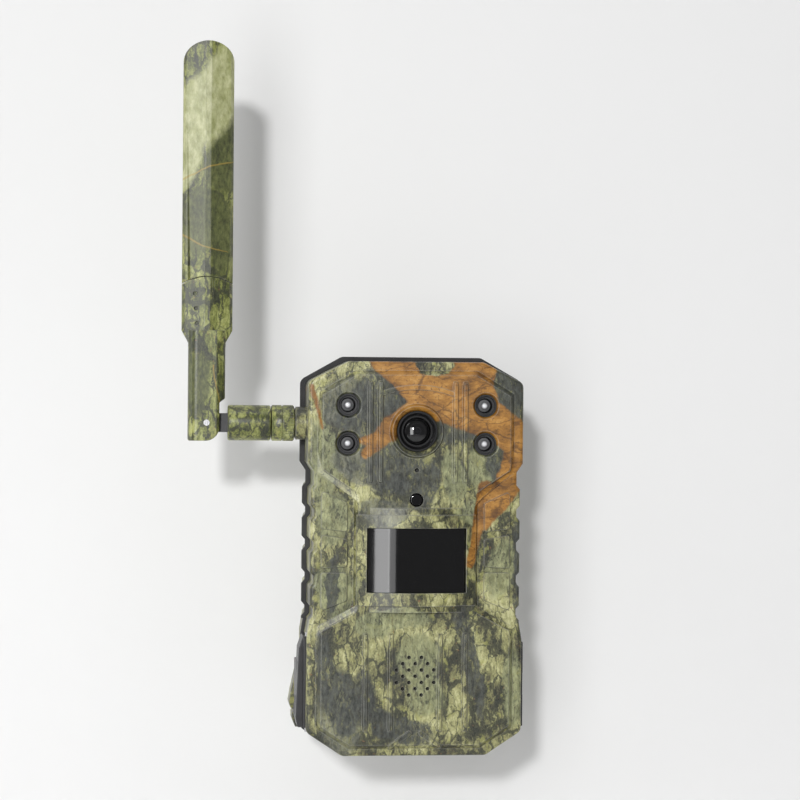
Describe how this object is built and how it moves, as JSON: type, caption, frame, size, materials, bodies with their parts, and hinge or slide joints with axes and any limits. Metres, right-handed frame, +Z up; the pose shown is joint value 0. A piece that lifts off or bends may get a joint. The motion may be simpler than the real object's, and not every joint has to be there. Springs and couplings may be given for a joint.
{
  "type": "trail camera",
  "caption": "Camouflaged cellular trail camera: two-part sealed case, lens, infrared lamps, motion sensor window, folding side aerial.",
  "frame": {"origin": "mouth of the tripod socket, in the middle of the bottom face", "axes": "+Z up, +Y back towards the tree, +X to the right as seen from the front"},
  "size_m": [0.1252, 0.0586, 0.2565],
  "materials": {
    "camo_shell": "matte",
    "camo_aerial": "matte",
    "black_rubber": "matte",
    "black_plastic": "satin",
    "black_metal": "satin",
    "dark_window": "gloss",
    "lens_glass": "gloss",
    "clear_resin": "gloss",
    "grey_plastic": "satin",
    "steel": "satin",
    "brass": "satin",
    "circuit_board": "satin",
    "black_resin": "matte",
    "speaker_mesh": "matte",
    "card_white": "satin",
    "cable_jacket": "satin",
    "cell_wrap": "gloss"
  },
  "bodies": {
    "rear_case": {"rear_housing": "camo_shell", "case_seal": "black_rubber", "tripod_insert": "brass", "tree_pads": "black_rubber", "battery_tray": "black_plastic", "battery_contacts": "steel", "tray_screws": "steel", "contact_pads": "brass", "batteries_lower": "cell_wrap", "batteries_upper": "cell_wrap", "hinge_pin_lower": "steel", "hinge_pin_upper": "steel"},
    "latch": {"latch_lever": "black_plastic"},
    "cover": {"port_cover": "black_rubber"},
    "nut": {"antenna_nut": "camo_aerial"},
    "swivel": {"antenna_sleeve": "camo_aerial", "antenna_core": "black_plastic", "elbow_pin": "steel"},
    "aerial": {"antenna_shank": "camo_aerial", "antenna_blade": "camo_aerial", "antenna_element": "circuit_board"},
    "slider": {"power_slider": "black_plastic"},
    "test_key": {"test_button": "grey_plastic"},
    "pair_key": {"pair_button": "grey_plastic"},
    "memory": {"memory_card": "black_resin"},
    "sim": {"sim_card": "card_white"},
    "front_case": {"board_components": "black_resin", "card_sockets": "black_plastic", "charging_port": "steel", "coax_lead": "cable_jacket", "contact_pins": "brass", "daylight_lens": "dark_window", "front_element": "lens_glass", "front_housing": "camo_shell", "image_sensor": "black_resin", "inner_panel": "black_plastic", "ir_lamp_1": "clear_resin", "ir_lamp_2": "clear_resin", "ir_lamp_3": "clear_resin", "ir_lamp_4": "clear_resin", "jack_seal": "black_rubber", "lamp_boards": "circuit_board", "lamp_cup_1": "black_plastic", "lamp_cup_2": "black_plastic", "lamp_cup_3": "black_plastic", "lamp_cup_4": "black_plastic", "latch_pin": "steel", "lens_barrel": "black_metal", "lens_mount": "black_plastic", "main_board": "circuit_board", "microphone": "black_resin", "modem_module": "steel", "panel_screws": "steel", "pir_sensor": "steel", "pir_shroud": "black_plastic", "pir_window": "dark_window", "power_inlet": "black_plastic", "sma_jack": "brass", "speaker": "black_plastic", "speaker_mesh": "speaker_mesh"}
  },
  "joints": [
    {"name": "door_swing", "type": "hinge", "parent": "rear_case", "child": "front_case", "pos_m": [0.0382, -0.004, 0.025], "axis": [0, 0, 1], "range_deg": [0, 110]},
    {"name": "latch_swing", "type": "hinge", "parent": "front_case", "child": "latch", "pos_m": [-0.0383, -0.026, 0.026], "axis": [0, 0, 1], "range_deg": [0, 70]},
    {"name": "cover_swing", "type": "hinge", "parent": "front_case", "child": "cover", "pos_m": [0.03835, -0.0176, 0.0254], "axis": [0, 0, 1], "range_deg": [0, 95]},
    {"name": "nut_spin", "type": "hinge", "parent": "front_case", "child": "nut", "pos_m": [-0.0478, -0.0226, 0.1195], "axis": [1, 0, 0], "continuous": true},
    {"name": "aerial_swivel", "type": "hinge", "parent": "front_case", "child": "swivel", "pos_m": [-0.06, -0.0226, 0.1195], "axis": [1, 0, 0], "continuous": true},
    {"name": "aerial_elbow", "type": "hinge", "parent": "swivel", "child": "aerial", "pos_m": [-0.0753, -0.0226, 0.1195], "axis": [0, 1, 0], "range_deg": [-90, 0]},
    {"name": "power_slide", "type": "slide", "parent": "front_case", "child": "slider", "axis": [1, 0, 0], "range_m": [0, 0.004]},
    {"name": "test_press", "type": "slide", "parent": "front_case", "child": "test_key", "axis": [0, -1, 0], "range_m": [0, 0.0005], "stiffness_N_per_m": 400},
    {"name": "pair_press", "type": "slide", "parent": "front_case", "child": "pair_key", "axis": [0, -1, 0], "range_m": [0, 0.0005], "stiffness_N_per_m": 400},
    {"name": "memory_slide", "type": "slide", "parent": "front_case", "child": "memory", "axis": [0, 0, 1], "range_m": [0, 0.012]},
    {"name": "sim_slide", "type": "slide", "parent": "front_case", "child": "sim", "axis": [0, 0, 1], "range_m": [0, 0.012]}
  ]
}
